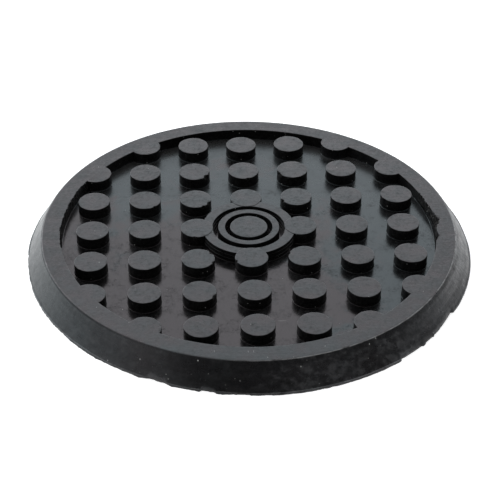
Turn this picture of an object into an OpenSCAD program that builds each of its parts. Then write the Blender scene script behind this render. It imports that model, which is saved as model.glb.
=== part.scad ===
// Round rubber jack pad, moulded in one piece.
// A thin disc with a sloping skirt carries a shallow round recess. Round studs on a square grid fill the
// recess, and a target of rings and a button takes the place of the middle stud.
// The origin is the centre of the base, and +Z points up through the studs.

/* [Disc] */
// Width of the flat rim round the recess
rim_w = 5.5; // [4:0.25:8]
// How far the skirt spreads outwards from the edge of the rim to its foot
skirt_w = 4.5; // [3:0.25:7]
// Height of the pad from the base to the tops of the rim and the studs
pad_h = 7.7; // [6:0.1:14]
// Height of the upright land left by the mould at the foot of the skirt
land_h = 0.8; // [0.4:0.1:1.5]
// Width of the narrow ledge on top of the land
land_step = 0.3; // [0.1:0.05:0.6]
// Width of the narrow slope that rounds the skirt into the top
shoulder = 0.5; // [0.2:0.1:1]

/* [Recess] */
// Diameter of the recess inside the rim
recess_d = 108; // [105:1:113]
// Depth of the recess, which is the height of the studs as well
recess_depth = 3.4; // [2:0.1:4.5]
// Radius of the fillet where a wall meets the floor of the recess
root_r = 0.45; // [0.3:0.05:0.8]
// Size of the broken corner round the tops
corner = 0.15; // [0.1:0.05:0.4]

/* [Studs] */
// Diameter of a stud
stud_d = 9.25; // [7:0.25:10.5]
// Distance from stud to stud along a row and from row to row
stud_pitch = 15; // [14:0.5:17]

/* [Target] */
// Diameter of the button in the middle
button_d = 10.75; // [8:0.25:12]
// Inside diameter of the ring round the button
ring_bore_d = 13.75; // [12.5:0.25:15]
// Outside diameter of the ring round the button
ring_d = 17.6; // [16.5:0.1:19]
// Inside diameter of the wide ring that joins the four nearest studs
boss_bore_d = 21; // [19.5:0.25:22.5]
// Outside diameter of the wide ring that joins the four nearest studs
boss_d = 26.8; // [25:0.2:30]
// How far the top of the wide ring lies below the tops of the studs
boss_drop = 0.1; // [0.05:0.05:0.4]

/* [Wear] */
// Depth of the deepest cut that trimming the mould flash has left in the foot of the skirt
trim_depth = 0.85; // [0.3:0.05:1.5]
// How far the torn bite in the inside edge of the rim reaches into the rim
bite_reach = 1.8; // [0.6:0.1:2.2]
// Depth of the torn bite from the top of the rim
bite_depth = 1.9; // [0.5:0.1:2]

/* [Hidden] */
$fn = 96;
// A sliver of overlap where two outlines share an edge
eps = 0.01;
floor_z = pad_h - recess_depth;
recess_r = recess_d / 2;
top_r = recess_r + rim_w;
base_r = top_r + skirt_w;
stud_r = stud_d / 2;
// A fillet dips this far under the floor, so that the two surfaces cross
root_dip = 0.03;
// How far a raised form reaches into the floor that carries it, and a cut past the edge it opens
past = 1;
// A stud is moulded where its middle lies no further outside the recess than this share of its radius
rim_share = 0.25;
grid_reach = ceil(recess_r / stud_pitch);
grid = [for (row = [-grid_reach : grid_reach], col = [-grid_reach : grid_reach]) [col, row] * stud_pitch];
stud_places = [for (p = grid) if (norm(p) > eps && norm(p) < recess_r + rim_share * stud_r) p];

// Cuts left by trimming: the angles where each starts and ends, and its depth there as a share of the deepest
trims = [
    [-119, -116, 0.1, 0.9],
    [-116, -111.5, 0.9, 0.2],
    [-104.5, -100.8, 0.55, 0.5],
    [-42, -30.6, 0.1, 1],
    [172, 176, 0.4, 0.3]
];
trim_step = 1.5;
// The torn bites: the angles where each starts, is deepest and ends, and its reach as a share of the longest
bites = [
    [-3, 1.8, 6, 1],
    [-9.5, -7.2, -5, 0.35]
];

function polar(r, angle) = [r * cos(angle), r * sin(angle)];
function between(a, b, share) = a + (b - a) * share;

// Half section of a raised ring or stud, from its seat in the floor to its top
module raised_section(inner_r, outer_r, top_z) {
    translate([inner_r, floor_z - past])
        square([outer_r - inner_r, top_z - corner - floor_z + past]);
    polygon([
        [inner_r == 0 ? 0 : inner_r + corner, top_z],
        [outer_r - corner, top_z],
        [outer_r, top_z - corner],
        [inner_r, top_z - corner]
    ]);
    outer_fillet(outer_r);
    if (inner_r > 0)
        inner_fillet(inner_r);
}

// Half section of the fillet at the foot of a wall that faces outwards
module outer_fillet(wall_r) {
    difference() {
        translate([wall_r - eps, floor_z - past])
            square([root_r + eps, root_r - root_dip + past]);
        translate([wall_r + root_r, floor_z + root_r - root_dip])
            circle(root_r);
    }
}

// Half section of the fillet at the foot of a wall that faces inwards
module inner_fillet(wall_r) {
    difference() {
        translate([wall_r - root_r, floor_z - past])
            square([root_r + eps, root_r - root_dip + past]);
        translate([wall_r - root_r, floor_z + root_r - root_dip])
            circle(root_r);
    }
}

module disc() {
    rotate_extrude() {
        polygon([
            [0, 0],
            [base_r, 0],
            [base_r, land_h],
            [base_r - land_step, land_h],
            [top_r, pad_h - shoulder / 2],
            [top_r - shoulder, pad_h],
            [recess_r + corner, pad_h],
            [recess_r, pad_h - corner],
            [recess_r, floor_z],
            [0, floor_z]
        ]);
        inner_fillet(recess_r);
    }
}

module stud() {
    rotate_extrude()
        raised_section(0, stud_r, pad_h);
}

module target() {
    rotate_extrude()
        raised_section(0, button_d / 2, pad_h);
    rotate_extrude()
        raised_section(ring_bore_d / 2, ring_d / 2, pad_h);
    rotate_extrude()
        raised_section(boss_bore_d / 2, boss_d / 2, pad_h - boss_drop);
}

// One cut in the foot of the skirt, with its inside edge following the round of the base
module trim_cut(first, last, first_share, last_share) {
    steps = ceil((last - first) / trim_step);
    inside = [for (i = [0 : steps]) polar(
        base_r - trim_depth * between(first_share, last_share, i / steps),
        between(first, last, i / steps)
    )];
    outside = [polar(base_r + past, last), polar(base_r + past, first)];
    translate([0, 0, -eps])
        linear_extrude(pad_h)
            polygon(concat(inside, outside));
}

// One bite in the inside edge of the rim, open to the recess and to the top
module bite_cut(first, deepest, last, share) {
    translate([0, 0, pad_h - bite_depth])
        linear_extrude(recess_depth)
            polygon([
                polar(recess_r - corner, first),
                polar(recess_r + bite_reach * share, deepest),
                polar(recess_r - corner, last),
                polar(recess_r - past, deepest)
            ]);
}

module jack_pad() {
    color([0.13, 0.13, 0.14]) {
        difference() {
            disc();
            for (t = trims)
                trim_cut(t[0], t[1], t[2], t[3]);
            for (b = bites)
                bite_cut(b[0], b[1], b[2], b[3]);
        }
        target();
        for (place = stud_places)
            translate(place)
                stud();
    }
}

jack_pad();
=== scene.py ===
"""Looks of a moulded rubber jack pad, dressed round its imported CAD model.

The pad is one piece of black rubber: a thin disc with a sloping skirt, a shallow recess filled with round studs,
and a target of rings and a button in the middle. All lengths are in metres, in the frame of the CAD model: the
origin is the centre of the base, +Z points up through the studs and +X runs along a row of studs.
"""

from __future__ import annotations

import logging
import math
from dataclasses import dataclass, field
from enum import Enum
from typing import Callable, Iterable, Sequence, Union

import bmesh
import bpy
from mathutils import Matrix, Vector, noise


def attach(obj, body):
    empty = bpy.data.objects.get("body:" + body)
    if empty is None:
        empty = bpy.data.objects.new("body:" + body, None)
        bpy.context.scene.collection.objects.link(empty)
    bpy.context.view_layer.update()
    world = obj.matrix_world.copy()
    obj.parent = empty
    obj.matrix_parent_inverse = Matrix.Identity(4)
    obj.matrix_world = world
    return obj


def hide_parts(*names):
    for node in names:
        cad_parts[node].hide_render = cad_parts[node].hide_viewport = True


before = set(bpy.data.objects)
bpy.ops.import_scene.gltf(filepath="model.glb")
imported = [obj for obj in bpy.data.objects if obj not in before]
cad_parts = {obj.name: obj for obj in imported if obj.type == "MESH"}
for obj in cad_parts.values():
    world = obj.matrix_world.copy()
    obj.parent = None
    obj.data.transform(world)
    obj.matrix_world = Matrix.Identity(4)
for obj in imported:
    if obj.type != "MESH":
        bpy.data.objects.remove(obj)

log = logging.getLogger("jack_pad")

MM = 0.001
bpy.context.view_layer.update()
MERGE_DISTANCE = 0.0005 * MM
FULL_TURN = 2 * math.pi
# The mesh attribute that says how torn the surface is
TORN = "torn"


class Mixing(Enum):
    """Ways in which one colour is laid over another."""

    BLEND = "MIX"
    DARKEN = "MULTIPLY"
    LIGHTEN = "SCREEN"


Term = Union["Value", float, tuple]


class Value:
    """One output socket of a shader, with Python's arithmetic on it."""

    def __init__(self, graph: "Graph", socket: bpy.types.NodeSocket) -> None:
        """Wraps a socket.

        Args:
            graph: The node graph that owns the socket.
            socket: The output socket to work with.
        """
        self.graph = graph
        self.socket = socket

    def _maths(self, operation: str, *terms: Term) -> "Value":
        """Adds one Math node that takes these terms and returns its result."""
        return self.graph.node("ShaderNodeMath", {"operation": operation}, dict(enumerate(terms)))

    def __add__(self, other: Term) -> "Value":
        """Sum."""
        return self._maths("ADD", self, other)

    def __radd__(self, other: Term) -> "Value":
        """Sum with a number on the left."""
        return self._maths("ADD", other, self)

    def __sub__(self, other: Term) -> "Value":
        """Difference."""
        return self._maths("SUBTRACT", self, other)

    def __rsub__(self, other: Term) -> "Value":
        """Difference with a number on the left."""
        return self._maths("SUBTRACT", other, self)

    def __mul__(self, other: Term) -> "Value":
        """Product."""
        return self._maths("MULTIPLY", self, other)

    def __rmul__(self, other: Term) -> "Value":
        """Product with a number on the left."""
        return self._maths("MULTIPLY", other, self)

    def __truediv__(self, other: Term) -> "Value":
        """Quotient."""
        return self._maths("DIVIDE", self, other)

    def __pow__(self, other: Term) -> "Value":
        """Power."""
        return self._maths("POWER", self, other)

    def __gt__(self, other: Term) -> "Value":
        """One where this is the greater, and zero elsewhere."""
        return self._maths("GREATER_THAN", self, other)

    def __lt__(self, other: Term) -> "Value":
        """One where this is the smaller, and zero elsewhere."""
        return self._maths("LESS_THAN", self, other)

    def ramp(self, low: float, high: float, to_low: float = 0.0, to_high: float = 1.0) -> "Value":
        """Eases this value from one range to another, and holds it at the ends.

        Args:
            low: The value that maps to to_low.
            high: The value that maps to to_high.
            to_low: The result at and under low.
            to_high: The result at and over high.

        Returns:
            The eased value.
        """
        return self.graph.node(
            "ShaderNodeMapRange",
            {"interpolation_type": "SMOOTHSTEP"},
            {"Value": self, "From Min": low, "From Max": high, "To Min": to_low, "To Max": to_high},
        )


class Graph:
    """The node graph of one material or world."""

    def __init__(self, tree: bpy.types.NodeTree) -> None:
        """Empties a node tree and keeps it.

        Args:
            tree: The tree that the nodes go into.
        """
        self.tree = tree
        tree.nodes.clear()

    def _add(self, kind: str, settings: dict, inputs: dict) -> bpy.types.Node:
        """Adds one node, sets its properties and fills its sockets."""
        made = self.tree.nodes.new(kind)
        for name, value in settings.items():
            if name == "stops":
                self._set_stops(made.color_ramp, value)
            else:
                setattr(made, name, value)
        for name, value in inputs.items():
            if isinstance(value, Value):
                self.tree.links.new(value.socket, made.inputs[name])
            else:
                made.inputs[name].default_value = value
        return made

    def node(
        self, kind: str, settings: dict | None = None, inputs: dict | None = None, output: int | str = 0
    ) -> Value:
        """Adds one node and returns one of its outputs.

        Args:
            kind: The node's type name.
            settings: Properties to set first. The key stops holds a colour ramp's (position, colour) pairs.
            inputs: What goes into its sockets, by name or index: a Value is linked, anything else is set.
            output: The name or index of the output to return.

        Returns:
            The chosen output.
        """
        return Value(self, self._add(kind, settings or {}, inputs or {}).outputs[output])

    def end(self, kind: str, surface: Value) -> None:
        """Adds the output node that takes the finished surface."""
        self._add(kind, {}, {"Surface": surface})

    @staticmethod
    def _set_stops(ramp: bpy.types.ColorRamp, stops: Sequence[tuple[float, tuple]]) -> None:
        """Writes a colour ramp's stops."""
        while len(ramp.elements) < len(stops):
            ramp.elements.new(0.5)
        for element, (place, colour) in zip(ramp.elements, stops):
            element.position = place
            element.color = (*colour, 1.0)

    def mixed(self, factor: Term, base: Term, over: Term, mixing: Mixing = Mixing.BLEND) -> Value:
        """Lays one colour over another.

        Args:
            factor: How much of the upper colour shows.
            base: The lower colour.
            over: The upper colour.
            mixing: How the upper colour is laid on.

        Returns:
            The mixed colour.
        """
        settings = {"data_type": "RGBA", "blend_type": mixing.value, "clamp_result": False}
        return self.node("ShaderNodeMix", settings, {0: factor, 6: base, 7: over}, output=2)

    def grain(
        self, place: Value, size: float, detail: float = 2.0, rough: float = 0.5, twist: float = 0.0
    ) -> Value:
        """Adds a noise of a given size, from about 0 to 1 with its middle at 0.5.

        Args:
            place: The coordinates that the noise is read at.
            size: The distance from blotch to blotch, in metres.
            detail: How many finer layers it has.
            rough: How strong the finer layers are.
            twist: How much the pattern swirls.

        Returns:
            The noise.
        """
        return self.node(
            "ShaderNodeTexNoise",
            {"noise_type": "FBM", "normalize": True},
            {"Vector": place, "Scale": 1.0 / size, "Detail": detail, "Roughness": rough, "Distortion": twist},
        )

    def stretched(self, place: Value, scale: tuple[float, float, float]) -> Value:
        """Returns coordinates stretched by a factor along each axis."""
        return self.node("ShaderNodeVectorMath", {"operation": "MULTIPLY"}, {0: place, 1: scale})

    def shifted(self, place: Value, by: tuple[float, float, float]) -> Value:
        """Returns coordinates moved by an offset."""
        return self.node("ShaderNodeVectorMath", {"operation": "ADD"}, {0: place, 1: by})

    def dot(self, vector: Value, along: Sequence[float]) -> Value:
        """Returns how far a vector reaches along a direction."""
        inputs = {0: vector, 1: tuple(along)}
        return self.node("ShaderNodeVectorMath", {"operation": "DOT_PRODUCT"}, inputs, output="Value")

    def part(self, vector: Value, axis: str) -> Value:
        """Returns one component of a vector, by the letter X, Y or Z."""
        return self.node("ShaderNodeSeparateXYZ", {}, {0: vector}, output=axis)


@dataclass(frozen=True)
class PadSizes:
    """The sizes of the pad, which are those of its CAD model."""

    base_r: float = 64 * MM
    top_r: float = 59.5 * MM
    height: float = 7.7 * MM
    land: float = 0.8 * MM
    recess_r: float = 54 * MM
    depth: float = 3.4 * MM
    root: float = 0.24 * MM
    corner: float = 0.09 * MM
    shoulder: float = 0.36 * MM
    stud_r: float = 4.625 * MM
    pitch: float = 15 * MM
    button_r: float = 5.375 * MM
    ring_bore_r: float = 6.875 * MM
    ring_r: float = 8.8 * MM
    boss_bore_r: float = 10.5 * MM
    boss_r: float = 13.4 * MM
    boss_drop: float = 0.1 * MM
    # How far a raised form reaches into the floor that carries it
    seat: float = 1.0 * MM
    # How far the foot of a fillet dips under the floor, so that the surfaces cross
    dip: float = 0.02 * MM

    @property
    def floor(self) -> float:
        """The level of the floor of the recess."""
        return self.height - self.depth


@dataclass(frozen=True)
class Corner:
    """One corner of a half section, in the plane of the axis and a radius."""

    r: float
    z: float
    # How far back along each edge the rounding of this corner starts
    ease: float = 0.0
    steps: int = 0
    # How many times the edge that leads to the next corner is divided
    cuts: int = 0


class Turned:
    """A form turned round an upright axis from a half section."""

    def __init__(self, corners: Sequence[Corner], turns: int) -> None:
        """Keeps the section.

        Args:
            corners: The corners of the half section, from its lower outer edge round to its upper inner edge.
            turns: How many flats the full turn is made of.
        """
        self.corners = corners
        self.turns = turns

    def build(self, closed: bool = False) -> bmesh.types.BMesh:
        """Turns the section into a closed mesh.

        Args:
            closed: Whether the section closes on itself, as a ring's does. Otherwise its two ends are capped.

        Returns:
            A new bmesh, which the caller frees.
        """
        bm = bmesh.new()
        points = [bm.verts.new((corner.r, 0.0, corner.z)) for corner in self.corners]
        pairs = list(zip(points, points[1:]))
        if closed:
            pairs.append((points[-1], points[0]))
        for pair in pairs:
            bm.edges.new(pair)
        spots = [point.co.copy() for point in points]
        for corner, spot in zip(self.corners, spots):
            if corner.ease:
                point = min(bm.verts, key=lambda vert: (vert.co - spot).length)
                bmesh.ops.bevel(
                    bm, geom=[point], offset=corner.ease, offset_type="OFFSET", affect="VERTICES",
                    segments=corner.steps, profile=0.5, material=-1,
                )
        for corner, spot, after in zip(self.corners, spots, spots[1:] + spots[:1]):
            if corner.cuts:
                middle = (spot + after) / 2
                run = min(bm.edges, key=lambda edge: (edge.verts[0].co + edge.verts[1].co - 2 * middle).length)
                bmesh.ops.subdivide_edges(bm, edges=[run], cuts=corner.cuts)
        bmesh.ops.spin(
            bm, geom=bm.verts[:] + bm.edges[:], cent=(0, 0, 0), axis=(0, 0, 1), angle=FULL_TURN,
            steps=self.turns, use_merge=True,
        )
        bmesh.ops.remove_doubles(bm, verts=bm.verts, dist=MERGE_DISTANCE)
        bmesh.ops.holes_fill(bm, edges=[edge for edge in bm.edges if edge.is_boundary], sides=0)
        bmesh.ops.recalc_face_normals(bm, faces=bm.faces)
        return bm


@dataclass(frozen=True)
class Arc:
    """A stretch of an edge where something has been cut away or left standing.

    The depth runs evenly from first_depth at first to last_depth at last. It is inwards where it is positive.
    """

    first: float
    last: float
    first_depth: float
    last_depth: float

    def depth(self, angle: float) -> float:
        """Returns the depth at an angle in degrees, which is 0 outside the stretch."""
        if not self.first <= angle <= self.last:
            return 0.0
        share = (angle - self.first) / (self.last - self.first)
        return self.first_depth + (self.last_depth - self.first_depth) * share


@dataclass(frozen=True)
class Nick:
    """A piece missing from the edge of a stud's top."""

    column: int
    row: int
    # Which way it lies from the middle of the stud, in degrees
    angle: float
    width: float
    depth: float
    drop: float = 0.9 * MM


def seeded_noise(angle: float, radius: float, size: float, seed: float) -> float:
    """Returns noise along a circle, from about -1 to 1, the same at every run.

    Args:
        angle: The angle round the circle, in radians.
        radius: The circle's radius.
        size: The length of one wave.
        seed: A number that picks the pattern.
    """
    return noise.noise(Vector((math.cos(angle), math.sin(angle), 0.0)) * (radius / size) + Vector((0, 0, seed)))


@dataclass
class Disc:
    """The disc with its skirt, rim and recess, and the marks that moulding, trimming and use have left on it."""

    sizes: PadSizes
    turns: int = 720
    ledge: float = 0.3 * MM
    # How far the top of the land sags below its level in the mould
    sag: float = 0.25 * MM
    # Cuts in the foot of the skirt where the flash was trimmed, and a lip where it was left
    trims: tuple[Arc, ...] = (
        Arc(-179.0, -165.0, 0.20 * MM, 0.15 * MM),
        Arc(-140.0, -131.0, -0.12 * MM, -0.15 * MM),
        Arc(-119.0, -116.0, 0.10 * MM, 0.77 * MM),
        Arc(-116.0, -111.5, 0.72 * MM, 0.15 * MM),
        Arc(-104.5, -100.8, 0.53 * MM, 0.52 * MM),
        Arc(-100.8, -96.0, -0.10 * MM, 0.03 * MM),
        Arc(-96.0, -93.0, 0.15 * MM, 0.28 * MM),
        Arc(-93.0, -88.0, 0.03 * MM, 0.20 * MM),
        Arc(-54.4, -46.6, 0.60 * MM, 0.43 * MM),
        Arc(-46.6, -45.0, 0.03 * MM, 0.30 * MM),
        Arc(-45.0, -38.0, 0.45 * MM, 0.50 * MM),
        Arc(-42.4, -41.6, -0.40 * MM, -0.20 * MM),
        Arc(-38.0, -31.2, 0.62 * MM, 0.99 * MM),
        Arc(-31.2, -28.4, 0.29 * MM, 0.05 * MM),
    )
    # Where the skirt spreads further than elsewhere, with the depth taken outwards
    swells: tuple[Arc, ...] = (
        Arc(-110.0, -96.0, 0.0, 0.15 * MM),
        Arc(-96.0, -87.0, 0.15 * MM, 0.55 * MM),
        Arc(-87.0, -54.4, 0.55 * MM, 0.60 * MM),
        Arc(-54.4, -45.0, 0.60 * MM, 0.40 * MM),
        Arc(-45.0, -38.0, 0.40 * MM, 0.20 * MM),
        Arc(-38.0, -28.4, 0.20 * MM, 0.05 * MM),
        Arc(-28.4, -10.0, 0.05 * MM, 0.45 * MM),
        Arc(-10.0, 30.0, 0.45 * MM, 0.55 * MM),
        Arc(30.0, 60.0, 0.55 * MM, 0.0),
    )
    # Bites torn from the inside edge of the rim
    bites: tuple[Arc, ...] = (
        Arc(-9.8, -7.4, 0.1 * MM, 0.75 * MM),
        Arc(-7.4, -5.6, 0.75 * MM, 0.35 * MM),
        Arc(-5.6, -3.6, 0.35 * MM, 0.15 * MM),
        Arc(-3.6, -0.6, 0.15 * MM, 1.35 * MM),
        Arc(-0.6, 1.5, 1.35 * MM, 1.8 * MM),
        Arc(1.5, 3.4, 1.8 * MM, 0.95 * MM),
        Arc(3.4, 9.0, 0.95 * MM, 0.1 * MM),
    )
    bite_depth: float = 2.3 * MM
    # How far out from the wall the mesh of the rim is close enough to carry a bite
    bite_span: float = 2.6 * MM
    nibble: float = 0.1 * MM
    # The stretches of the rim's inside edge that are frayed, in degrees, and how deeply
    frayed: tuple[tuple[float, float, float], ...] = ((5.0, 19.0, 0.6 * MM), (148.0, 190.0, 0.9 * MM))

    def build(self) -> bmesh.types.BMesh:
        """Turns the disc and wears its edges.

        Returns:
            A new bmesh, which the caller frees.
        """
        s = self.sizes
        bm = Turned(
            (
                Corner(s.base_r, 0.0, ease=0.08 * MM, steps=2),
                Corner(s.base_r, s.land, ease=0.05 * MM, steps=2),
                Corner(s.base_r - self.ledge, s.land, cuts=8),
                Corner(s.top_r, s.height, ease=s.shoulder, steps=4, cuts=2),
                Corner(s.recess_r + self.bite_span, s.height, cuts=10),
                Corner(s.recess_r, s.height, ease=s.corner, steps=3, cuts=7),
                Corner(s.recess_r, s.floor, ease=s.root, steps=5),
                Corner(s.recess_r - 2 * s.root, s.floor),
            ),
            self.turns,
        ).build()
        torn = bm.verts.layers.float.new(TORN)
        for vert in bm.verts:
            self._wear_foot(vert)
            vert[torn] = self._wear_rim(vert)
        return bm

    def _wear_foot(self, vert: bmesh.types.BMVert) -> None:
        """Moves a vertex of the skirt to where it has swelled, and of its foot to where trimming has left it."""
        s = self.sizes
        radius = vert.co.xy.length
        if radius < s.top_r:
            return
        angle = math.atan2(vert.co.y, vert.co.x)
        swell = sum(arc.depth(math.degrees(angle)) for arc in self.swells)
        spread = radius + swell * (1 - vert.co.z / s.height)
        vert.co.xy *= spread / radius
        if vert.co.z > s.height / 2:
            return
        if s.land / 2 < vert.co.z < 1.1 * s.land:
            vert.co.z -= self.sag * (0.6 + seeded_noise(angle, s.base_r, 9 * MM, 31.0))
        depth = sum(trim.depth(math.degrees(angle)) for trim in self.trims)
        ragged = self.nibble * (0.5 - 1.5 * min(0.0, math.sin(angle + 0.6)))
        depth += ragged * seeded_noise(angle, s.base_r, 2.2 * MM, 3.0)
        depth += ragged * seeded_noise(angle, s.base_r, 0.8 * MM, 8.0)
        limit = s.base_r + swell - depth
        if vert.co.z < s.land / 2 and radius > s.base_r - self.ledge:
            vert.co.xy *= limit / spread
        elif spread > limit:
            vert.co.xy *= limit / spread

    def _wear_rim(self, vert: bmesh.types.BMVert) -> float:
        """Moves a vertex at the rim's inside edge to where a bite or fraying has left it.

        Args:
            vert: The vertex, which may lie anywhere on the disc.

        Returns:
            How torn the surface is there, from 0 to 1.
        """
        s = self.sizes
        radius = vert.co.xy.length
        under = s.height - vert.co.z
        beyond = radius - s.recess_r
        if not -2 * s.root < beyond < self.bite_span or vert.co.z < s.floor + s.dip:
            return 0.0
        angle = math.atan2(vert.co.y, vert.co.x)
        turned = math.degrees(angle) % 360
        crumble = noise.noise(vert.co / (0.6 * MM)) + 0.6 * noise.noise(vert.co / (1.5 * MM))
        frayed, fray = max(
            (min(1.0, (turned - first) / 5, (last - turned) / 5), depth) for first, last, depth in self.frayed
        )
        reach = sum(bite.depth(math.degrees(angle)) for bite in self.bites) * (1 + 0.3 * crumble)
        reach += fray * max(0.0, frayed) * abs(seeded_noise(angle, s.recess_r, 1.1 * MM, 21.0))
        if under < self.bite_depth and beyond > -s.corner and reach > max(beyond, 0.1 * MM):
            slope = max(0.0, beyond) / reach
            fall = self.bite_depth * (1 - slope**1.6) * (0.82 + 0.3 * crumble)
            vert.co.z = min(vert.co.z, s.height - fall)
            return 1.0
        return 0.75 * max(0.0, frayed) if beyond < 2 * s.corner else 0.0


@dataclass
class StudField:
    """The studs, on a square grid that fills the recess."""

    sizes: PadSizes
    turns: int = 88
    # A stud is moulded where its middle lies no further outside the recess than this share of its radius
    rim_share: float = 0.25
    wobble: float = 0.08 * MM
    nicks: tuple[Nick, ...] = (
        Nick(-1, 2, -38.0, 2.4 * MM, 0.75 * MM, 1.6 * MM),
        Nick(-1, 2, -14.0, 0.9 * MM, 0.35 * MM),
        Nick(-2, 1, -52.0, 1.2 * MM, 0.35 * MM),
        Nick(-1, 1, -30.0, 2.2 * MM, 0.50 * MM),
        Nick(-1, 1, -60.0, 1.2 * MM, 0.35 * MM),
        Nick(-1, -1, 35.0, 2.0 * MM, 0.45 * MM),
        Nick(-1, -1, -25.0, 1.2 * MM, 0.35 * MM),
        Nick(-1, -2, -30.0, 2.0 * MM, 0.40 * MM),
        Nick(1, 2, 205.0, 2.8 * MM, 0.50 * MM),
        Nick(1, 1, 205.0, 1.4 * MM, 0.40 * MM),
        Nick(1, 1, -15.0, 1.0 * MM, 0.30 * MM),
        Nick(0, -1, 200.0, 1.2 * MM, 0.30 * MM),
        Nick(-1, 0, -100.0, 1.2 * MM, 0.25 * MM),
        Nick(0, 2, -75.0, 1.6 * MM, 0.25 * MM),
        Nick(-2, 0, -20.0, 1.0 * MM, 0.25 * MM),
        Nick(1, -1, 160.0, 1.3 * MM, 0.25 * MM),
        Nick(3, -1, 80.0, 1.0 * MM, 0.20 * MM),
    )

    def places(self) -> list[tuple[int, int]]:
        """Returns the columns and rows where the studs stand, with the middle at 0, 0."""
        s = self.sizes
        reach = range(-math.ceil(s.recess_r / s.pitch), math.ceil(s.recess_r / s.pitch) + 1)
        limit = s.recess_r + self.rim_share * s.stud_r
        grid = [(column, row) for row in reach for column in reach]
        return [(column, row) for column, row in grid if 0 < math.hypot(column, row) * s.pitch < limit]

    def _wear(self, vert: bmesh.types.BMVert, nicks: Sequence[Nick], middle: Vector) -> float:
        """Roughens the upper part of a stud's wall and cuts the stud's nicks.

        Args:
            vert: A vertex of the stud, already in its place.
            nicks: The nicks of this stud.
            middle: The middle of the stud's base.

        Returns:
            How torn the surface is there, from 0 to 1.
        """
        s = self.sizes
        arm = (vert.co - middle).xy
        if vert.co.z < s.floor + 2 * s.root or arm.length < s.stud_r - 4 * s.corner:
            return 0.0
        on_edge = arm.length > s.stud_r - 2 * s.corner
        torn = 0.0
        inwards = self.wobble * (noise.noise(vert.co / (1.4 * MM)) + 0.6 * noise.noise(vert.co / (0.5 * MM)))
        for nick in nicks:
            turn = math.radians(nick.angle) - math.atan2(arm.y, arm.x)
            aside = abs(math.remainder(turn, FULL_TURN)) * s.stud_r / (nick.width / 2)
            share = max(0.0, 1 - aside) * max(0.0, 1 - (s.height - vert.co.z) / nick.drop)
            if share:
                ragged = noise.noise(Vector((vert.co.x, vert.co.y, 0.0)).normalized() * (s.recess_r / (0.4 * MM)))
                inwards += nick.depth * share * (1 + 0.5 * ragged)
                if on_edge:
                    vert.co.z -= 0.4 * nick.depth * share
                    torn = 1.0
        vert.co -= (arm.normalized() * inwards).to_3d()
        return torn

    def build(self) -> bmesh.types.BMesh:
        """Turns the studs, sets them on the grid and wears them.

        Returns:
            A new bmesh, which the caller frees.
        """
        s = self.sizes
        studs = bmesh.new()
        one = Turned(
            (
                Corner(s.stud_r + 2 * s.root, s.floor - s.seat),
                Corner(s.stud_r + 2 * s.root, s.floor - s.dip),
                Corner(s.stud_r, s.floor - s.dip, ease=s.root, steps=5, cuts=4),
                Corner(s.stud_r, s.height, ease=s.corner, steps=3),
                Corner(s.stud_r - 3 * s.corner, s.height),
            ),
            self.turns,
        ).build()
        mould = bpy.data.meshes.new("stud_mould")
        one.to_mesh(mould)
        one.free()
        torn = studs.verts.layers.float.new(TORN)
        for column, row in self.places():
            before = len(studs.verts)
            studs.from_mesh(mould)
            studs.verts.ensure_lookup_table()
            middle = Vector((column, row, 0.0)) * s.pitch
            new = studs.verts[before:]
            bmesh.ops.translate(studs, verts=new, vec=middle)
            nicks = [nick for nick in self.nicks if (nick.column, nick.row) == (column, row)]
            for vert in new:
                vert[torn] = self._wear(vert, nicks, middle)
        bpy.data.meshes.remove(mould)
        return studs


@dataclass
class Target:
    """The button and the two rings that take the place of the middle stud."""

    sizes: PadSizes
    turns: int = 128
    ledge: float = 0.12 * MM

    def _ring(self, bore_r: float, outer_r: float, top: float, ledges: int = 0) -> bmesh.types.BMesh:
        """Turns one ring, or a button where the bore is 0.

        Args:
            bore_r: The radius of its bore at the top.
            outer_r: Its outer radius at the top.
            top: The level of its top.
            ledges: How many narrow ledges the mould's turning has left on its walls.

        Returns:
            A new bmesh, which the caller frees.
        """
        s = self.sizes
        drops = [s.depth * (number + 1) / (ledges + 1) for number in range(ledges)]
        out = self.ledge * ledges
        outside = [
            Corner(outer_r + out + 2 * s.root, s.floor - s.seat),
            Corner(outer_r + out + 2 * s.root, s.floor - s.dip),
            Corner(outer_r + out, s.floor - s.dip, ease=s.root, steps=5, cuts=2),
        ]
        for number in range(ledges, 0, -1):
            level = top - drops[number - 1]
            outside.append(Corner(outer_r + self.ledge * number, level))
            outside.append(Corner(outer_r + self.ledge * (number - 1), level))
        outside.append(Corner(outer_r, top, ease=s.corner, steps=3))
        if not bore_r:
            return Turned((*outside, Corner(outer_r - 3 * s.corner, top)), self.turns).build()
        inside = [Corner(bore_r, top, ease=s.corner, steps=3)]
        for number, drop in enumerate(drops):
            inside.append(Corner(bore_r - self.ledge * number, top - drop))
            inside.append(Corner(bore_r - self.ledge * (number + 1), top - drop))
        inside += [
            Corner(bore_r - out, s.floor - s.dip, ease=s.root, steps=5),
            Corner(bore_r - out - 2 * s.root, s.floor - s.dip),
            Corner(bore_r - out - 2 * s.root, s.floor - s.seat),
        ]
        return Turned((*outside, *inside), self.turns).build(closed=True)

    def build(self) -> list[bmesh.types.BMesh]:
        """Turns the button and the rings.

        Returns:
            New bmeshes, which the caller frees.
        """
        s = self.sizes
        return [
            self._ring(0.0, s.button_r, s.height),
            self._ring(s.ring_bore_r, s.ring_r, s.height),
            self._ring(s.boss_bore_r, s.boss_r, s.height - s.boss_drop, ledges=2),
        ]


@dataclass(frozen=True)
class Film:
    """What one zone of the surface looks like."""

    colour: Value
    rough: Value
    relief: Value
    # How cool its sheen is, from 0 for brownish to 1 for teal
    cool: Value | float
    # How much of its sheen is rubbed away, from 0 to 1
    worn: Value


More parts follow.
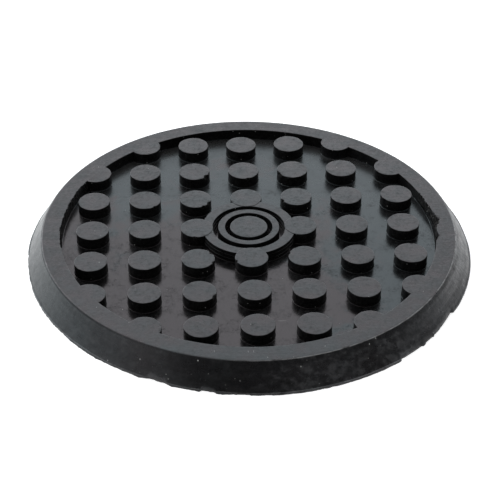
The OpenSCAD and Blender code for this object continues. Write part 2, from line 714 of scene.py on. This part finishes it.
@dataclass(frozen=True)
class RubberFinish:
    """Black moulded rubber: satin tops, a glossier floor, and a skirt mottled by handling."""

    sizes: PadSizes
    black: tuple[float, float, float] = (0.0022, 0.0022, 0.0024)
    soot: tuple[float, float, float] = (0.0190, 0.0190, 0.0195)
    # Pale colour of the mottling on the tops, also used as painted light on the floor near the back wall
    bloom_and_painted_light: tuple[float, float, float] = (0.0300, 0.0300, 0.0300)
    dust: tuple[float, float, float] = (0.0280, 0.0280, 0.0290)
    crumb: tuple[float, float, float] = (0.0400, 0.0390, 0.0380)
    speck: tuple[float, float, float] = (0.3000, 0.3000, 0.2900)
    # Pale colour of the scratches, also used for the painted highlights on the rim's shoulder, the boss's ledges and
    # the foot
    scuff_and_highlight: tuple[float, float, float] = (0.1800, 0.1800, 0.1800)
    warm_sheen: tuple[float, float, float] = (1.0, 0.87, 0.90)
    cool_sheen: tuple[float, float, float] = (0.86, 1.0, 1.06)
    # Where the tops and the floor are scratched: the middle of each scratch and half its length along X and Y
    scratches: tuple[tuple[float, float, float, float], ...] = (
        (-11.9 * MM, -55.3 * MM, 0.11 * MM, 0.65 * MM),
        (-3.2 * MM, -55.8 * MM, 0.10 * MM, 0.60 * MM),
        (-1.8 * MM, -55.8 * MM, 0.10 * MM, 0.60 * MM),
        (6.9 * MM, -39.5 * MM, 1.90 * MM, 0.10 * MM),
    )
    ior: float = 1.5

    @staticmethod
    def _rgba(colour: tuple[float, float, float]) -> tuple[float, float, float, float]:
        """Adds a full alpha to a colour."""
        return (*colour, 1.0)

    def _top(self, graph: Graph, place: Value) -> Film:
        """Returns the satin face of the studs, rings and rim: fine grain with faint streaks along X."""
        grain = graph.grain(place, 0.8 * MM, detail=4.0, rough=0.7)
        streak = graph.grain(graph.stretched(place, (0.3, 1.4, 1.0)), 1.5 * MM, detail=3.0)
        cloud = graph.grain(place, 4 * MM, detail=3.0)
        spots = (grain - 0.5) * 1.6 + (streak - 0.5) * 1.0 + (cloud - 0.5) * 1.2
        colour = graph.mixed(spots.ramp(-0.15, 0.5), self._rgba(self.black), self._rgba(self.bloom_and_painted_light))
        rough = 0.34 + (grain - 0.5) * 0.3 + (cloud - 0.5) * 0.2
        relief = grain * (0.06 * MM) + streak * (0.035 * MM) + cloud * (0.05 * MM)
        out = graph.node(
            "ShaderNodeVectorMath", {"operation": "LENGTH"}, {0: graph.stretched(place, (1.0, 1.0, 0.0))}, output="Value"
        )
        rim = out.ramp(self.sizes.recess_r, self.sizes.recess_r + 1 * MM)
        behind = graph.part(place, "Y").ramp(-0.9 * self.sizes.recess_r, -0.3 * self.sizes.recess_r)
        uneven = (grain - 0.5) * 2.1 + (streak - 0.5) * 0.7 + (cloud - 0.5) * 0.9
        worn = 0.09 + uneven * (1.0 - rim * 0.3) + rim * behind * 0.09
        middle = out.ramp(18 * MM, 42 * MM, 0.2, 0.0)
        near = graph.part(place, "Y").ramp(-self.sizes.recess_r, -0.9 * self.sizes.recess_r, 0.2, 0.0)
        return Film(colour, rough, relief, 0.37 + middle + near + (cloud - 0.5) * 1.1, worn)

    def _floor(self, graph: Graph, place: Value) -> Film:
        """Returns the glossy floor of the recess, brownish in the middle and teal to the back and the right."""
        s = self.sizes
        cloud = graph.grain(place, 17 * MM, detail=3.0)
        patch = graph.grain(graph.shifted(place, (0.07, 0.02, 0.0)), 5 * MM, detail=4.0, rough=0.6)
        back = graph.part(place, "Y").ramp(-0.4 * s.pitch, 1.8 * s.pitch)
        right = graph.part(place, "X").ramp(1.1 * s.pitch, 2.8 * s.pitch)
        cool = (back + right + (cloud - 0.5) * 2.8 + (patch - 0.5) * 1.6).ramp(0.15, 1.05)
        grain = graph.grain(place, 0.9 * MM, detail=3.0, rough=0.7)
        spots = (patch - 0.5) * 1.2 + (grain - 0.5) * 1.3
        colour = graph.mixed(spots.ramp(-0.2, 0.5), self._rgba(self.black), self._rgba(self.soot))
        rough = 0.2 + (patch - 0.5) * 0.16 + back * 0.08
        relief = cloud * (0.05 * MM) + patch * (0.015 * MM) + grain * (0.008 * MM)
        along = graph.part(place, "Y")
        line = along.ramp(21.3 * MM, 22.0 * MM) * along.ramp(22.0 * MM, 22.7 * MM, 1.0, 0.0)
        facing_up = graph.part(graph.node("ShaderNodeTexCoord", output="Normal"), "Z")
        root = facing_up.ramp(0.9, 0.985, 1.0, 0.0)
        out = graph.node(
            "ShaderNodeVectorMath", {"operation": "LENGTH"}, {0: graph.stretched(place, (1.0, 1.0, 0.0))}, output="Value"
        )
        root = root * out.ramp(s.recess_r - 2 * MM, s.recess_r - MM, 0.6, 0.9)
        # Painted light: the floor near the back wall of the recess is lightened towards the pale colour
        painted_light_by_wall = out.ramp(s.recess_r - 7 * MM, s.recess_r - 4 * MM)
        painted_light_by_wall = painted_light_by_wall * graph.part(place, "Y").ramp(0.35 * s.recess_r, 0.75 * s.recess_r)
        colour = graph.mixed(painted_light_by_wall * 0.8, colour, self._rgba(self.bloom_and_painted_light))
        worn = 0.04 - back * 0.18 + line * 0.16 + root + (patch - 0.5) * 1.6 + (grain - 0.5) * 1.5
        return Film(colour, rough, relief, cool, worn)

    def _skirt(self, graph: Graph, place: Value) -> Film:
        """Returns the skirt: cloudy dust in front, a painted shade across the front left, and fine streaks round the
        sides.
        """
        smudge = graph.grain(graph.stretched(place, (0.8, 1.0, 1.2)), 2.6 * MM, detail=5.0, rough=0.65, twist=0.3)
        patch = graph.grain(graph.shifted(place, (0.03, 0.05, 0.01)), 11 * MM, detail=2.0)
        bands = graph.grain(graph.stretched(place, (0.05, 0.05, 1.0)), 1.6 * MM, detail=4.0, rough=0.6)
        brush = graph.grain(graph.stretched(place, (0.5, 1.0, 0.35)), 0.7 * MM, detail=4.0, rough=0.6)
        across = graph.part(place, "X")
        right = across.ramp(0.5 * self.sizes.top_r, 0.9 * self.sizes.top_r)
        handled = across.ramp(-0.35 * self.sizes.top_r, 0.45 * self.sizes.top_r, 0.45, 1.0)
        fine = graph.grain(place, 0.45 * MM, detail=3.0, rough=0.7)
        # Painted shade: a darker band across the front left of the skirt
        shade = across.ramp(-0.5 * self.sizes.top_r, -0.28 * self.sizes.top_r)
        shade = shade * across.ramp(-0.1 * self.sizes.top_r, 0.25 * self.sizes.top_r, 1.0, 0.0)
        brow = graph.part(place, "Z").ramp(6.0 * MM, 6.8 * MM) * handled.ramp(0.6, 0.9)
        mottle = graph.grain(graph.stretched(place, (0.7, 1.0, 0.8)), 1.3 * MM, detail=4.0, rough=0.6) - 0.5
        mottle = mottle * handled.ramp(0.45, 0.8, 0.35, 1.0) * (1.0 - right * 0.8)
        # Dust, less the painted shade; it is also darker along the top on the right and towards the left
        dust_and_shade = (smudge - 0.5) * 4.0 + (fine - 0.5) * 2.4 + (patch - 0.5) * 1.6 + mottle * 4.5
        dust_and_shade = dust_and_shade + (handled - 1.0) * 0.4 - shade * 0.5 - brow * 0.5
        colour = graph.mixed(dust_and_shade.ramp(-0.6, 0.9), self._rgba(self.black), self._rgba(self.dust))
        rough = 0.3 + (smudge - 0.5) * 0.35 + right * ((bands - 0.5) * 0.25 + (brush - 0.35) * 0.5)
        relief = smudge * (0.05 * MM) + bands * (0.04 * MM + right * (0.07 * MM)) + right * brush * (0.09 * MM)
        front = graph.part(place, "Y").ramp(-0.75 * self.sizes.top_r, -0.15 * self.sizes.top_r, 1.0, 0.0)
        behind = graph.part(place, "Y").ramp(0.06 * self.sizes.top_r, 0.3 * self.sizes.top_r)
        stripes = (bands - 0.52) * (0.6 + right * 0.6)
        low = graph.part(place, "Z").ramp(1.5 * MM, 4.0 * MM, 0.15, 0.0)
        low = low * graph.part(place, "Y").ramp(-0.35 * self.sizes.top_r, -0.1 * self.sizes.top_r)
        worn = front * (0.1 + shade * 0.3) + right * front * 0.35 + right * behind * 1.25 - right * low
        lip = graph.part(place, "Z").ramp(7.1 * MM, 7.4 * MM)
        lip = lip * across.ramp(-0.95 * self.sizes.top_r, -0.3 * self.sizes.top_r, 0.5, 0.0)
        left = across.ramp(-1.02 * self.sizes.top_r, -0.5 * self.sizes.top_r, 0.45, 0.0)
        worn = worn + stripes + (smudge - 0.5) * 0.8 + (fine - 0.5) * 0.8 + brow * 0.2 - mottle * 1.5 + lip
        return Film(colour, rough, relief, 0.5 + left + (patch - 0.5) * 0.5, worn)

    def _blend(self, graph: Graph, factor: Value, under: Film, over: Film) -> Film:
        """Lays one zone over another where the factor is 1."""
        return Film(
            graph.mixed(factor, under.colour, over.colour),
            under.rough + (over.rough - under.rough) * factor,
            under.relief + (over.relief - under.relief) * factor,
            under.cool + (over.cool - under.cool) * factor,
            under.worn + (over.worn - under.worn) * factor,
        )

    def _specks(self, graph: Graph, place: Value, rough: Value) -> Value:
        """Returns where pale grains of dust cling, sparse on smooth rubber and denser on rough.

        Args:
            graph: The material's graph.
            place: The coordinates on the pad.
            rough: How rough the surface is moulded or torn, from 0 to 1.

        Returns:
            One on a grain and zero elsewhere.
        """
        cells = {"Vector": place, "Scale": 1 / (1.7 * MM), "Randomness": 1.0}
        near = graph.node("ShaderNodeTexVoronoi", {}, cells, output="Distance")
        pick = graph.node("ShaderNodeTexVoronoi", {}, cells, output="Color")
        chance = graph.part(pick, "X")
        bright = graph.part(pick, "Y").ramp(0.3, 1.0, 0.12, 1.0)
        return (near < 0.07 + 0.05 * rough) * (chance > 0.84 - 0.45 * rough) * bright

    def _scratched(self, graph: Graph, place: Value) -> Value:
        """Returns how pale the scratches make the surface, from 0 to 1."""
        total = None
        for x, y, half_x, half_y in self.scratches:
            away = graph.stretched(graph.shifted(place, (-x, -y, 0.0)), (1 / half_x, 1 / half_y, 0.0))
            length = graph.node("ShaderNodeVectorMath", {"operation": "LENGTH"}, {0: away}, output="Value")
            mark = length.ramp(0.3, 1.0, 1.0, 0.0)
            total = mark if total is None else total + mark
        return total

    def _bumped(self, graph: Graph, relief: Value) -> Value:
        """Turns a relief in metres into a normal."""
        return graph.node("ShaderNodeBump", {}, {"Strength": 1.0, "Distance": 1.0, "Height": relief})

    def _sheen(self, graph: Graph, film: Film, colour: Value) -> Value:
        """Returns the moulded skin, from its brownish sheen to its teal one."""
        shared = {
            "Base Color": colour, "Roughness": film.rough, "Normal": self._bumped(graph, film.relief),
            "IOR": self.ior,
        }
        warm, cool = (
            graph.node("ShaderNodeBsdfPrincipled", {}, {**shared, "Specular Tint": self._rgba(tint)})
            for tint in (self.warm_sheen, self.cool_sheen)
        )
        return graph.node("ShaderNodeMixShader", {}, {0: film.cool.ramp(0.0, 1.0), 1: warm, 2: cool})

    def build(self) -> bpy.types.Material:
        """Makes the material.

        Returns:
            The finished material.
        """
        s = self.sizes
        material = bpy.data.materials.new("moulded_black_rubber")
        material.use_nodes = True
        graph = Graph(material.node_tree)
        place = graph.node("ShaderNodeTexCoord", output="Object")
        facing_up = graph.part(graph.node("ShaderNodeTexCoord", output="Normal"), "Z")
        height = graph.part(place, "Z")
        level = graph.stretched(place, (1.0, 1.0, 0.0))
        radius = graph.node("ShaderNodeVectorMath", {"operation": "LENGTH"}, {0: level}, output="Value")
        above_base = height.ramp(0.02 * MM, 0.1 * MM)
        outside = radius.ramp(s.top_r - 0.1 * MM, s.top_r + 0.1 * MM) * above_base
        raised = height.ramp(s.floor + 0.5 * MM, s.floor + 1.5 * MM) + (1.0 - above_base)
        torn = graph.node("ShaderNodeAttribute", {"attribute_name": TORN}, output="Fac")
        level_face = graph.node("ShaderNodeMath", {"operation": "ABSOLUTE"}, {0: facing_up})
        upright = (1.0 - level_face).ramp(0.55, 0.85) * (1.0 - outside * 0.8)
        front = graph.part(place, "Y").ramp(-0.9 * s.top_r, -0.6 * s.top_r, 1.0, 0.0)
        specks = self._specks(graph, place, torn + upright * 0.85 + outside * front * 0.9)

        film = self._blend(graph, raised, self._floor(graph, place), self._top(graph, place))
        film = self._blend(graph, outside, film, self._skirt(graph, place))
        # Painted highlight: a pale line along the rim's outer shoulder on the right, broken up by noise
        edge = radius.ramp(s.top_r - 0.3 * MM, s.top_r - 0.1 * MM) * radius.ramp(s.top_r, s.top_r + 0.2 * MM, 1.0, 0.0)
        turn = graph.part(place, "X").ramp(-0.3 * s.top_r, 0.2 * s.top_r)
        highlight_breaks = graph.grain(place, 4 * MM, detail=3.0).ramp(0.25, 0.55)
        edge = edge * turn * highlight_breaks * height.ramp(s.height - 0.4 * MM, s.height - 0.2 * MM)
        above = height.ramp(s.floor + 0.5 * MM, s.floor + 0.6 * MM)
        below = height.ramp(s.height - 0.6 * MM, s.height - 0.5 * MM, 1.0, 0.0)
        # Painted highlight: pale lines on the upward faces of the boss's ledges
        ledges = radius.ramp(s.boss_r + 0.6 * MM, s.boss_r + 0.7 * MM, 1.0, 0.0) * facing_up.ramp(0.7, 0.9)
        # Paler foot: an even paleness on the land, and a painted highlight on the upward ledge at its top
        foot = outside * height.ramp(s.land - 0.2 * MM, s.land, 1.0, 0.0)
        foot = foot * (0.06 + facing_up.ramp(0.8, 0.95) * 0.3)
        # The pale marks: painted highlights on the shoulder, the ledges and the foot, and real scratches
        pale = edge + foot + ledges * above * below * highlight_breaks * 0.3 + self._scratched(graph, place) * 0.8
        colour = graph.mixed(pale, film.colour, self._rgba(self.scuff_and_highlight))
        skin = self._sheen(graph, film, graph.mixed(specks, colour, self._rgba(self.speck)))

        crumb = graph.grain(place, 0.55 * MM, detail=4.0, rough=0.7)
        ridge = graph.grain(graph.stretched(place, (0.1, 0.1, 1.0)), 0.32 * MM, detail=2.0)
        crumbly = (torn + upright * 0.3) * crumb.ramp(0.46, 0.62)
        bare = graph.mixed(crumbly, self._rgba(self.black), self._rgba(self.crumb))
        relief = crumb * torn * (0.3 * MM) + crumb * (0.05 * MM) + ridge * (0.1 * MM)
        dull = graph.node(
            "ShaderNodeBsdfPrincipled",
            {},
            {
                "Base Color": graph.mixed(specks, bare, self._rgba(self.speck)), "Roughness": 0.6,
                "Normal": self._bumped(graph, relief), "Specular IOR Level": 0.05,
            },
        )
        rubbed = graph.node("ShaderNodeMath", {"operation": "MAXIMUM"}, {0: film.worn, 1: upright * 0.8})
        dullness = graph.node("ShaderNodeMath", {"operation": "MAXIMUM", "use_clamp": True}, {0: torn, 1: rubbed})
        shader = graph.node("ShaderNodeMixShader", {}, {0: dullness, 1: skin, 2: dull})
        graph.end("ShaderNodeOutputMaterial", shader)
        return material


class JackPad:
    """The whole pad, fused into one piece."""

    SHARP_ANGLE = math.radians(38)
    # A face that looks down more squarely than this belongs to the flat base
    BASE_NORMAL_Z = -0.999

    def __init__(self, sizes: PadSizes, finish: RubberFinish) -> None:
        """Keeps the sizes and the finish.

        Args:
            sizes: The pad's sizes.
            finish: The rubber's finish.
        """
        self.sizes = sizes
        self.finish = finish

    @staticmethod
    def _object(name: str, bm: bmesh.types.BMesh) -> bpy.types.Object:
        """Makes an object of a bmesh, and frees the bmesh."""
        mesh = bpy.data.meshes.new(name)
        bm.to_mesh(mesh)
        bm.free()
        made = bpy.data.objects.new(name, mesh)
        bpy.context.scene.collection.objects.link(made)
        return made

    @staticmethod
    def _fuse(base: bpy.types.Object, tool: bpy.types.Object) -> None:
        """Fuses a tool into a base and deletes the tool."""
        cut = base.modifiers.new("fuse", "BOOLEAN")
        cut.operation = "UNION"
        cut.solver = "MANIFOLD"
        cut.object = tool
        graph = bpy.context.evaluated_depsgraph_get()
        fused = bpy.data.meshes.new_from_object(base.evaluated_get(graph))
        base.modifiers.clear()
        old = base.data
        base.data = fused
        bpy.data.meshes.remove(old)
        spent = tool.data
        bpy.data.objects.remove(tool)
        bpy.data.meshes.remove(spent)

    def build(self) -> bpy.types.Object:
        """Builds, fuses and dresses the pad.

        Returns:
            The finished object.
        """
        pad = self._object("moulded_pad", Disc(self.sizes).build())
        log.info("disc: %d faces", len(pad.data.polygons))
        self._fuse(pad, self._object("studs", StudField(self.sizes).build()))
        log.info("with studs: %d faces", len(pad.data.polygons))
        for ring in Target(self.sizes).build():
            self._fuse(pad, self._object("ring", ring))
        self._tidy(pad)
        pad.data.materials.clear()
        pad.data.materials.append(self.finish.build())
        weighted = pad.modifiers.new("even_shading", "WEIGHTED_NORMAL")
        weighted.keep_sharp = True
        log.info("pad: %d faces", len(pad.data.polygons))
        return pad

    def _lift(self, point: Vector) -> float:
        """Returns how far the sheet of rubber has warped upwards at a point, none at all at the base."""
        s = self.sizes
        share = point.xy.length / s.recess_r
        turn = math.atan2(point.y, point.x)
        lift = 0.065 * share**2 * math.cos(2 * turn)
        lift += share**3 * (0.08 * math.cos(3 * turn) + 0.03 * math.cos(turn))
        return lift * MM * min(1.0, max(0.0, point.z / s.floor))

    def _tidy(self, pad: bpy.types.Object) -> None:
        """Merges doubles, turns the faces outwards and marks which edges stay sharp."""
        bm = bmesh.new()
        bm.from_mesh(pad.data)
        bmesh.ops.remove_doubles(bm, verts=bm.verts, dist=MERGE_DISTANCE)
        bmesh.ops.dissolve_degenerate(bm, edges=bm.edges, dist=MERGE_DISTANCE)
        bmesh.ops.recalc_face_normals(bm, faces=bm.faces)
        for vert in bm.verts:
            vert.co.z += self._lift(vert.co)
        loose = [edge for edge in bm.edges if not edge.is_manifold]
        log.info("edges that are not manifold: %d", len(loose))
        for face in bm.faces:
            face.smooth = face.normal.z > self.BASE_NORMAL_Z
        for edge in bm.edges:
            rounded = len(edge.link_faces) == 2 and all(face.smooth for face in edge.link_faces)
            edge.smooth = rounded and edge.calc_face_angle() < self.SHARP_ANGLE
        bm.to_mesh(pad.data)
        bm.free()


@dataclass(frozen=True)
class Studio:
    """A pale floor and a soft surround, which is white behind the pad and dark behind the camera."""

    # Where the camera aims on the plane of the tops, and where it stands from there
    aim: tuple[float, float, float] = (-0.28 * MM, -11.58 * MM, 7.7 * MM)
    distance: float = 395.5 * MM
    azimuth: float = -3.486
    elevation: float = 35.98
    roll: float = 0.514
    lens: float = 100.8
    floor_size: float = 6.0
    floor_colour: tuple[float, float, float] = (0.8, 0.8, 0.8)
    floor_glow: float = 0.6
    # Brightness of the surround by the angle round the pad in degrees, from the camera, positive to the right
    ring: tuple[tuple[float, float], ...] = (
        (-180, 1.63), (-160, 1.5), (-148, 3.4), (-136, 3.4), (-129, 3.3), (-120, 2.0), (-108, 1.24), (-95, 0.9), (-78, 0.76), (-61, 0.66), (-42, 0.48), (-23, 0.11),
        (-3, 0.12), (17, 0.18), (37, 0.25), (56, 0.13), (74, 0.18), (91, 0.32), (106, 0.6), (121, 0.98),
        (135, 1.25), (160, 1.6), (180, 1.63),
    )
    # How much brighter the surround is at a height, given as the upward part of the direction
    rise: tuple[tuple[float, float], ...] = (
        (0.0, 1.25), (0.545, 1.25), (0.562, 1.04), (0.61, 1.0), (0.65, 1.15), (0.72, 1.1),
    )
    ring_peak: float = 3.4
    zenith: float = 1.0

    @property
    def towards_camera(self) -> Vector:
        """The level direction from the pad to the camera."""
        turn = math.radians(self.azimuth)
        return Vector((math.sin(turn), -math.cos(turn), 0.0))

    def build(self) -> None:
        """Sets the floor, the surround and the camera."""
        self._floor()
        self._surround()
        self._camera()
        view = bpy.context.scene.view_settings
        view.view_transform = "Standard"
        view.look = "None"
        log.info("studio set")

    def _floor(self) -> None:
        """Lays the floor."""
        bm = bmesh.new()
        bmesh.ops.create_grid(bm, x_segments=2, y_segments=2, size=self.floor_size / 2)
        mesh = bpy.data.meshes.new("studio_floor")
        bm.to_mesh(mesh)
        bm.free()
        floor = bpy.data.objects.new("studio_floor", mesh)
        bpy.context.scene.collection.objects.link(floor)
        material = bpy.data.materials.new("pale_floor")
        material.use_nodes = True
        graph = Graph(material.node_tree)
        shader = graph.node(
            "ShaderNodeBsdfPrincipled",
            {},
            {
                "Base Color": (*self.floor_colour, 1.0), "Roughness": 0.9,
                "Emission Color": (1.0, 1.0, 1.0, 1.0), "Emission Strength": self.floor_glow,
            },
        )
        graph.end("ShaderNodeOutputMaterial", shader)
        mesh.materials.append(material)

    def _tint(self, angle: float) -> tuple[float, float, float]:
        """Returns the colour of the surround's light at an angle, cooler the further it lies behind the pad."""
        cool = abs(angle) / 180
        return (1 - 0.05 * cool, 1.0, 1 + 0.04 * cool)

    def _surround(self) -> None:
        """Paints the surround, from white behind the pad to dark behind the camera."""
        world = bpy.data.worlds.new("studio_surround")
        bpy.context.scene.world = world
        world.use_nodes = True
        graph = Graph(world.node_tree)
        direction = graph.node("ShaderNodeTexCoord", output="Generated")
        near = graph.dot(direction, self.towards_camera)
        right = graph.dot(direction, Vector((0.0, 0.0, 1.0)).cross(self.towards_camera))
        turn = graph.node("ShaderNodeMath", {"operation": "ARCTAN2"}, {0: right, 1: near})
        stops = tuple(
            (angle / 360 + 0.5, tuple(level / self.ring_peak * tint for tint in self._tint(angle)))
            for angle, level in self.ring
        )
        ring = graph.node("ShaderNodeValToRGB", {"stops": stops}, {"Fac": turn / FULL_TURN + 0.5})
        upwards = graph.part(direction, "Z")
        shares = tuple((place, (level / self.ring_peak,) * 3) for place, level in self.rise)
        rise = graph.node("ShaderNodeValToRGB", {"stops": shares}, {"Fac": upwards})
        lifted = graph.node("ShaderNodeVectorMath", {"operation": "MULTIPLY"}, {0: ring, 1: rise})
        ring = graph.node(
            "ShaderNodeVectorMath", {"operation": "SCALE"}, {0: lifted, "Scale": self.ring_peak}
        )
        high = upwards.ramp(0.72, 1.0)
        light = graph.mixed(high, ring, (*(self.zenith / self.ring_peak,) * 3, 1.0))
        background = graph.node("ShaderNodeBackground", {}, {"Color": light, "Strength": self.ring_peak})
        graph.end("ShaderNodeOutputWorld", background)

    def _camera(self) -> None:
        """Places the camera at the photograph's angle."""
        lift = math.radians(self.elevation)
        back = self.towards_camera * math.cos(lift) + Vector((0.0, 0.0, math.sin(lift)))
        data = bpy.data.cameras.new("camera")
        data.lens = self.lens
        data.sensor_width = 36.0
        data.clip_start = 0.01
        camera = bpy.data.objects.new("camera", data)
        level = (-back).to_track_quat("-Z", "Y").to_matrix().to_4x4()
        turned = level @ Matrix.Rotation(math.radians(self.roll), 4, "Z")
        camera.matrix_world = Matrix.Translation(Vector(self.aim) + back * self.distance) @ turned
        bpy.context.scene.collection.objects.link(camera)
        bpy.context.scene.camera = camera


def main() -> None:
    """Builds the studio and the pad."""
    logging.basicConfig(level=logging.INFO, format="%(name)s: %(message)s")
    Studio().build()
    sizes = PadSizes()
    pad = JackPad(sizes, RubberFinish(sizes)).build()
    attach(pad, "root")
    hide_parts("jack_pad")


if __name__ == "__main__":
    main()
